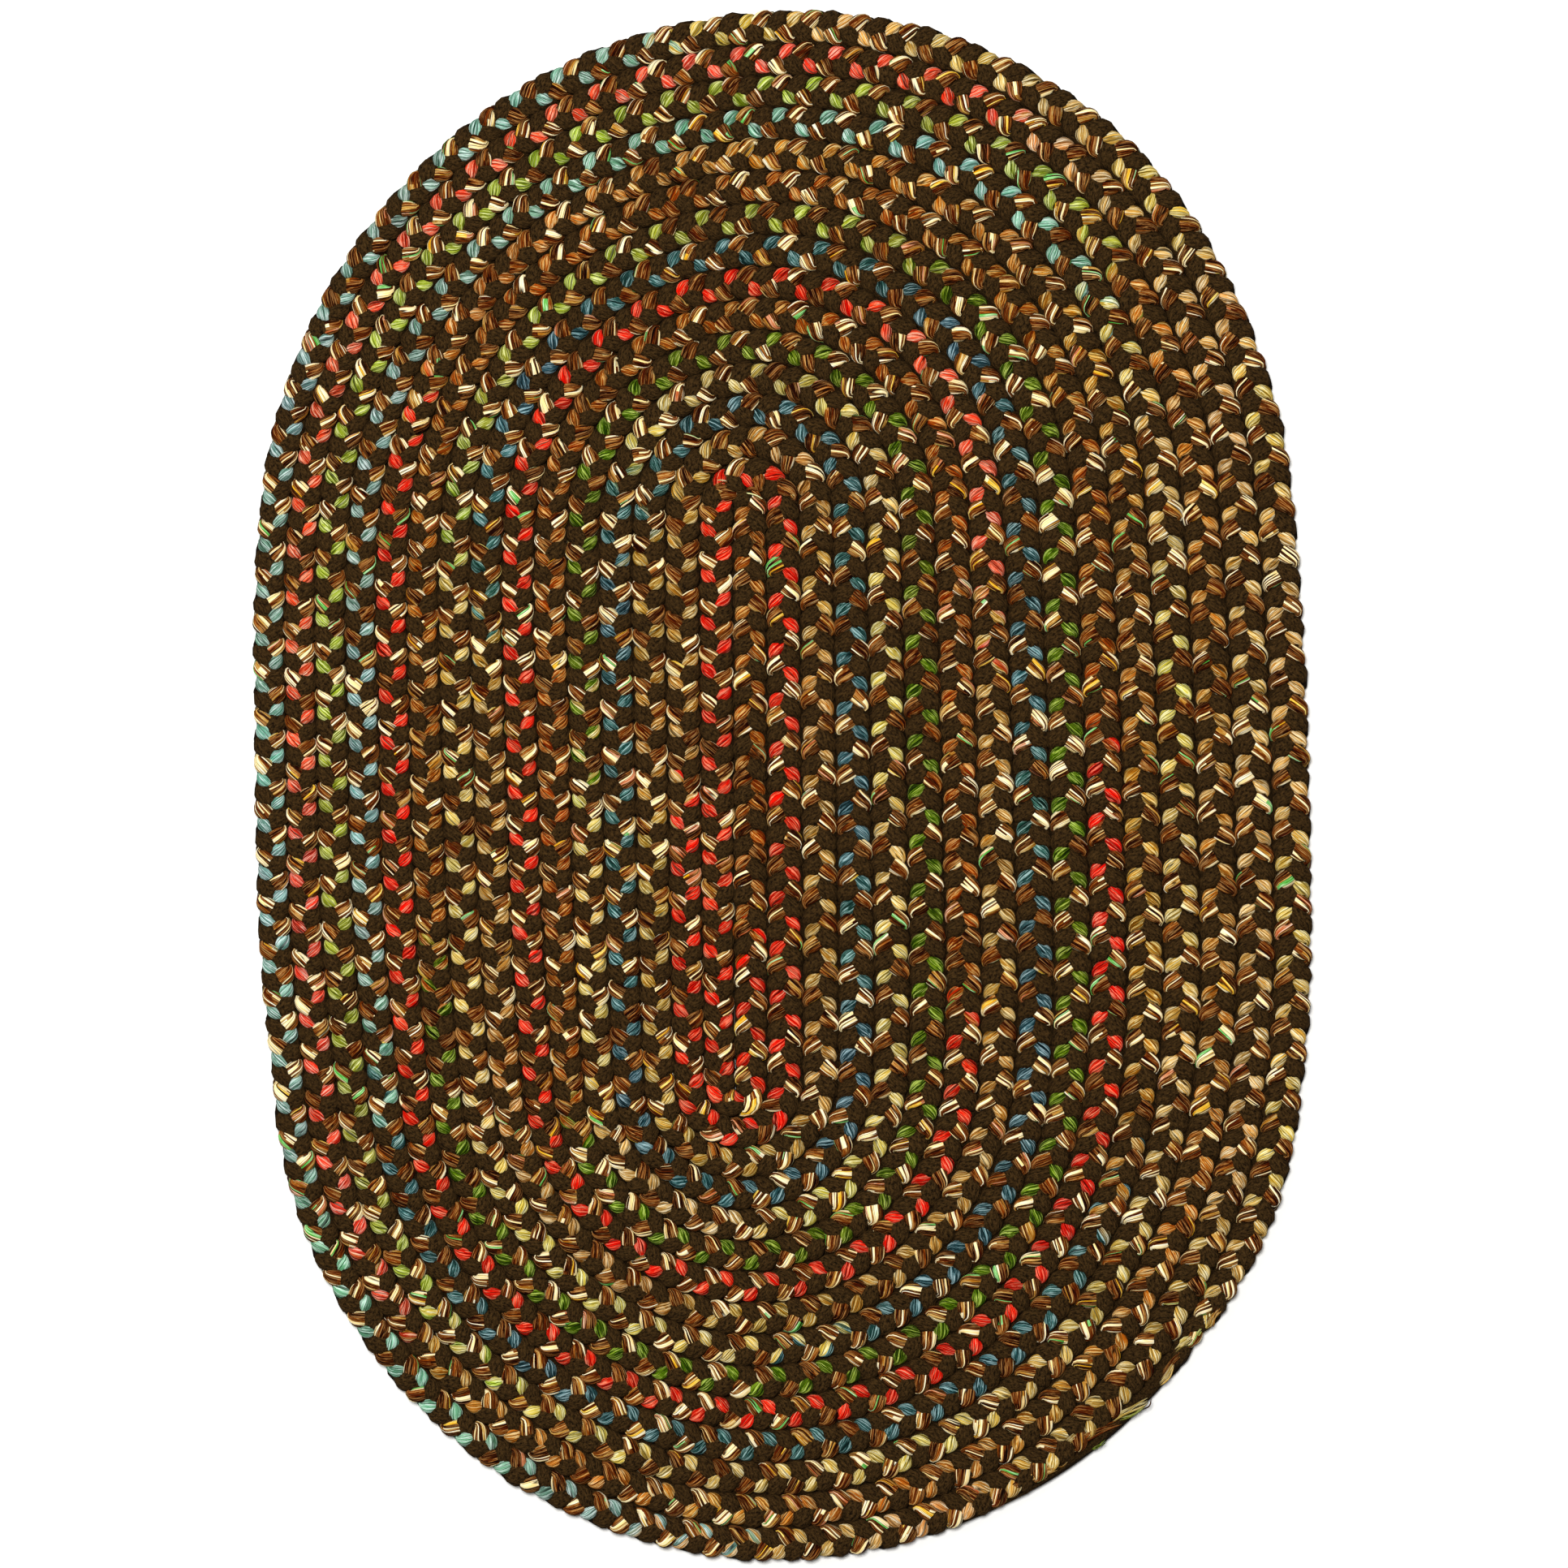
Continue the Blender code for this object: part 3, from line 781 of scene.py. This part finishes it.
def felted_wool(name, colour, place, deepest):
    """Black-brown felted wool: matted fibres hide its yarns, so it is matt
    and mottled.  The mottle is drawn some 1 mm across, coarser than the felt.

    place(tree) gives millimetres: along the strand and around it, or over
    the ground.
    """
    material, tree, shader = new_material(name, 0.95)
    where = place(tree)
    mottle = add_node(tree, "ShaderNodeTexNoise", None, {
        "Vector": where, "Scale": 1.1, "Detail": 3.0, "Roughness": 0.8})
    value = add_node(tree, "ShaderNodeMapRange", None, {
        "Value": mottle.outputs[0], "From Min": 0.38, "From Max": 0.64,
        "To Min": 0.20, "To Max": 2.6})
    tinted = add_node(tree, "ShaderNodeHueSaturation", None, {
        "Value": value.outputs[0], "Color": (*colour, 1.0)})
    shaded = add_node(tree, "ShaderNodeMix", MULTIPLY, {
        0: 1.0, 6: tinted.outputs[0], 7: depth_shade(tree, deepest)})
    tree.links.new(shaded.outputs[2], shader.inputs["Base Color"])
    fuzz = add_node(tree, "ShaderNodeTexNoise", None, {
        "Vector": where, "Scale": 2.2, "Detail": 2.0})
    height = add_node(tree, "ShaderNodeMath", {"operation": "ADD"}, {
        0: mottle.outputs[0], 1: fuzz.outputs[0]})
    bump = add_node(tree, "ShaderNodeBump", None, {
        "Height": height.outputs[0], "Strength": 0.8, "Distance": 0.0006})
    tree.links.new(bump.outputs[0], shader.inputs["Normal"])
    return material


DARK_STRAND_GIRTH = 22.0    # mm around it
FIBRE_STRETCH = 0.8         # draws the mottle longer along the strand


def along_strand(tree):
    """Millimetres along the strand and around it."""
    uv = add_node(tree, "ShaderNodeUVMap", {"uv_map": "yarn_map"})
    return add_node(tree, "ShaderNodeMapping", None, {
        "Vector": uv.outputs[0],
        "Scale": (FIBRE_STRETCH, DARK_STRAND_GIRTH, 1.0)}).outputs[0]


def over_ground(tree):
    """Millimetres of the rug's own space."""
    place = add_node(tree, "ShaderNodeTexCoord")
    return add_node(tree, "ShaderNodeMapping", None, {
        "Vector": place.outputs["Object"], "Scale": (1.0 / MILLIMETRE,) * 3}).outputs[0]


# ---------------------------------------------------------------- operators

def settings():
    """The scene's sizes and colours of the rug."""
    scene = bpy.context.scene
    return scene.braided_rug_sizes, scene.braided_rug_colours


# Side and height in mm of the ground's two faces
GROUND_TOP = [(-1.0, 5.0), (-0.85, 6.6), (-0.45, 7.1), (0.0, 6.4), (0.45, 7.1), (0.85, 6.6),
              (1.0, 5.0)]
GROUND_BOTTOM = [(-1.0, 4.2), (-0.8, 3.4), (0.0, 2.8), (0.8, 3.4), (1.0, 4.2)]
GROUND_INSET = 0.87         # of the last round's width, which keeps it out of sight
MERGE_DISTANCE = 0.00005


def grid_faces(rows, columns, first):
    """Quads of a grid of points, whose first point has the number given."""
    i, j = np.meshgrid(np.arange(rows - 1), np.arange(columns - 1), indexing="ij")
    at = first + i * columns + j
    return np.stack([at, at + 1, at + columns + 1, at + columns], -1).reshape(-1, 4)


class BRAIDEDRUG_OT_ground(bpy.types.Operator):
    """Make a thin closed sheet deep between the strands, dark in the black-brown wool's
    colour: painted shade where the gaps show the plait's shaded depths

    Its two faces carry a profile across the braid along the whole spiral, and
    a third strip joins them at the rim."""

    bl_idname = "braided_rug.ground"
    bl_label = "Ground between the strands"

    def execute(self, context):
        colours = context.scene.braided_rug_colours
        step = np.arange(LAST_STEP + 1)[:, None]
        outermost = LAST_STEP - ROUND_STEPS
        inset = np.interp(step, [outermost, outermost + 2], [1.0, GROUND_INSET])
        rim_step = step[outermost:]
        angle = np.linspace(0.0, np.pi, TURN_STEPS + 1)[None, :]

        grids = []
        for profile in (GROUND_TOP, GROUND_BOTTOM):
            side, height = np.array(profile).T
            x, y = braid_point(step, side[None, :], inset)
            grids.append((x, y, height[None, :]))
            outward = side >= 0.0
            radius = side[outward, None] * 0.5 * NOMINAL_WIDTH
            cap = stretch(CORE_X - radius * np.cos(angle), CORE_TOP + radius * np.sin(angle))
            grids.append((*cap, height[outward, None]))
        x, y = braid_point(rim_step, np.array([[1.0, 1.0]]), inset[outermost:])
        grids.append((x, y, np.array([[GROUND_TOP[-1][1], GROUND_BOTTOM[-1][1]]])))

        points, faces, first = [], [], 0
        for x, y, height in grids:
            x, y, z = np.broadcast_arrays(x, y, height * MILLIMETRE)
            points.append(np.stack([x, y, z], -1).reshape(-1, 3))
            faces.append(grid_faces(*x.shape, first))
            first += x.size
        mesh = bpy.data.meshes.new("rug_ground")
        mesh.from_pydata(np.concatenate(points), [], np.concatenate(faces))
        bm = bmesh.new()
        bm.from_mesh(mesh)
        bmesh.ops.remove_doubles(bm, verts=bm.verts, dist=MERGE_DISTANCE)
        bmesh.ops.recalc_face_normals(bm, faces=bm.faces)
        bm.to_mesh(mesh)
        bm.free()
        mesh.shade_smooth()
        # The sheet's dark colour stands for the shade deep in the plait between the strands:
        # painted shade, in the black-brown wool's colour
        ground = place_piece("rug_ground", mesh, felted_wool(
            "ground_wool_painted_shade", colours.black_brown, over_ground, 0.45))
        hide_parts("rug")
        return {"FINISHED"}


class BRAIDEDRUG_OT_space_dyed_strand(bpy.types.Operator):
    """Plait the space-dyed strand, whose colour runs change along the braid"""

    bl_idname = "braided_rug.space_dyed_strand"
    bl_label = "Space-dyed strand"

    def execute(self, context):
        sizes, colours = settings()
        braid = Braid(sizes.pitch)
        # Wool roving dyed a length at a time, loosely twisted: long runs of
        # one colour with fine streaks of fibre, and no gloss
        wool = yarn_wool("space_dyed_wool_roving", attribute_colour, 12, 24.0,
                         2.4, 0.58, 0.14)
        add_strand("space_dyed_strand", braid, sizes, sizes.accent_width,
                   sizes.accent_height, SPACE_DYED_LAY, run_colours(braid, colours), wool)
        return {"FINISHED"}


class BRAIDEDRUG_OT_tweed_strand(bpy.types.Operator):
    """Plait the tweed strand, cream, tan and brown yarns side by side"""

    bl_idname = "braided_rug.tweed_strand"
    bl_label = "Tweed strand"

    def execute(self, context):
        sizes, colours = settings()
        braid = Braid(sizes.pitch)
        # Spun wool yarns of many colours side by side: sharp cream, tan and
        # brown lines with a few flecks of mint, yellow and pink
        wool = yarn_wool("tweed_wool_yarn", tweed_colour(colours), 22, 34.0,
                         2.1, 0.58, 0.12)
        add_strand("tweed_strand", braid, sizes, sizes.tweed_width, sizes.tweed_height,
                   TWEED_LAY, plain_colours(colours.tweed_brown), wool)
        return {"FINISHED"}


class BRAIDEDRUG_OT_black_brown_strand(bpy.types.Operator):
    """Plait the black-brown strand, the thickest of the three"""

    bl_idname = "braided_rug.black_brown_strand"
    bl_label = "Black-brown strand"

    def execute(self, context):
        sizes, colours = settings()
        braid = Braid(sizes.pitch)
        # Fulled wool roving, its fibres matted in washing: dark and matt,
        # with no yarns to be seen
        wool = felted_wool("black_brown_felted_wool", colours.black_brown, along_strand, 0.24)
        add_strand("black_brown_strand", braid, sizes, sizes.dark_width, sizes.dark_height,
                   BLACK_BROWN_LAY, plain_colours(colours.black_brown), wool, True)
        return {"FINISHED"}


class BRAIDEDRUG_OT_loose_yarn(bpy.types.Operator):
    """Lay the frayed yarn ends on the tail and where the braid begins"""

    bl_idname = "braided_rug.loose_yarn"
    bl_label = "Loose yarn ends"

    def execute(self, context):
        colours = context.scene.braided_rug_colours
        # Single wool yarns come undone from their strand: soft, streaked, matt
        wool = yarn_wool("loose_wool_yarn", attribute_colour, 3, 8.0, 2.0, 0.60, 0.55)
        add_piece("loose_yarn_strand_ends", wool, loose_yarn_tubes(colours))
        return {"FINISHED"}


FRAME_SIZE = 0.9024         # what the photograph takes in, across, metres
FRAME_CENTRE = (0.0008, 0.0008)
CAMERA_LENS = 100.0         # mm
CAMERA_SENSOR = 36.0        # mm
FLOOR_HALF = 4.0            # metres, from the middle to a side
FLOOR_GAP = 0.0004          # metres, which keeps the floor from the rug's underside
ROOM_LIGHT = 0.20           # strength of the even light from all around
SOFTBOXES = [
    # name, place in metres, side in metres, power in watts
    ("overhead_softbox", (-0.3, 0.6, 3.2), 0.8, 117.0),
    ("side_softbox", (-2.2, 1.4, 2.4), 1.6, 19.0),
]


class BRAIDEDRUG_OT_stage(bpy.types.Operator):
    """Set the pale floor, the soft lights and the camera above the rug"""

    bl_idname = "braided_rug.stage"
    bl_label = "Studio"

    def execute(self, context):
        scene = context.scene
        colours = scene.braided_rug_colours
        mesh = bpy.data.meshes.new("studio_floor")
        corners = [(x * FLOOR_HALF, y * FLOOR_HALF, 0.0)
                   for x, y in ((-1, -1), (1, -1), (1, 1), (-1, 1))]
        mesh.from_pydata(corners, [], [(0, 1, 2, 3)])
        # Seamless studio paper, white and matt, with a soft shadow at the rug
        material, tree, shader = new_material("studio_floor_paper", 0.95)
        shader.inputs["Base Color"].default_value = (*colours.floor, 1.0)
        mesh.materials.append(material)
        floor = bpy.data.objects.new("studio_floor", mesh)
        scene.collection.objects.link(floor)
        floor.location.z = -FLOOR_GAP

        for name, place, size, power in SOFTBOXES:
            light = bpy.data.lights.new(name, "AREA")
            light.shape = "SQUARE"
            light.size = size
            light.energy = power
            lamp = bpy.data.objects.new(name, light)
            scene.collection.objects.link(lamp)
            lamp.location = place
            # An area light shines along its own -Z, here towards the origin
            lamp.rotation_euler = lamp.location.to_track_quat("Z", "Y").to_euler()

        world = scene.world or bpy.data.worlds.new("studio")
        scene.world = world
        world.use_nodes = True
        backdrop = world.node_tree.nodes["Background"]
        backdrop.inputs["Color"].default_value = (1.0, 1.0, 1.0, 1.0)
        backdrop.inputs["Strength"].default_value = ROOM_LIGHT

        camera = bpy.data.cameras.new("camera_above")
        camera.lens = CAMERA_LENS
        camera.sensor_width = CAMERA_SENSOR
        camera.clip_end = 50.0
        viewer = bpy.data.objects.new("camera_above", camera)
        scene.collection.objects.link(viewer)
        away = FRAME_SIZE * CAMERA_LENS / CAMERA_SENSOR
        viewer.location = (*FRAME_CENTRE, away + 2.0 * MIDDLE_HEIGHT)
        scene.camera = viewer
        scene.view_settings.view_transform = "Standard"
        return {"FINISHED"}


class BRAIDEDRUG_PT_sidebar(bpy.types.Panel):
    """The rug's pieces, in the order that they are made"""

    bl_idname = "BRAIDEDRUG_PT_sidebar"
    bl_label = "Braided rug"
    bl_space_type = "VIEW_3D"
    bl_region_type = "UI"
    bl_category = "Braided rug"

    def draw(self, context):
        layout = self.layout
        for name in PIECES:
            layout.operator(f"braided_rug.{name}")
        for group in settings():
            box = layout.box()
            for key in group.__annotations__:
                box.prop(group, key)


PIECES = ["ground", "space_dyed_strand", "tweed_strand", "black_brown_strand", "loose_yarn",
          "stage"]
CLASSES = [
    BraidedRugSizes, BraidedRugColours, BRAIDEDRUG_OT_ground,
    BRAIDEDRUG_OT_space_dyed_strand, BRAIDEDRUG_OT_tweed_strand,
    BRAIDEDRUG_OT_black_brown_strand, BRAIDEDRUG_OT_loose_yarn, BRAIDEDRUG_OT_stage,
    BRAIDEDRUG_PT_sidebar,
]


def register():
    for cls in CLASSES:
        bpy.utils.register_class(cls)
    bpy.types.Scene.braided_rug_sizes = bpy.props.PointerProperty(type=BraidedRugSizes)
    bpy.types.Scene.braided_rug_colours = bpy.props.PointerProperty(type=BraidedRugColours)


def unregister():
    del bpy.types.Scene.braided_rug_colours
    del bpy.types.Scene.braided_rug_sizes
    for cls in reversed(CLASSES):
        bpy.utils.unregister_class(cls)


def main():
    register()
    for name in PIECES:
        getattr(bpy.ops.braided_rug, name)()


if __name__ == "__main__":
    main()
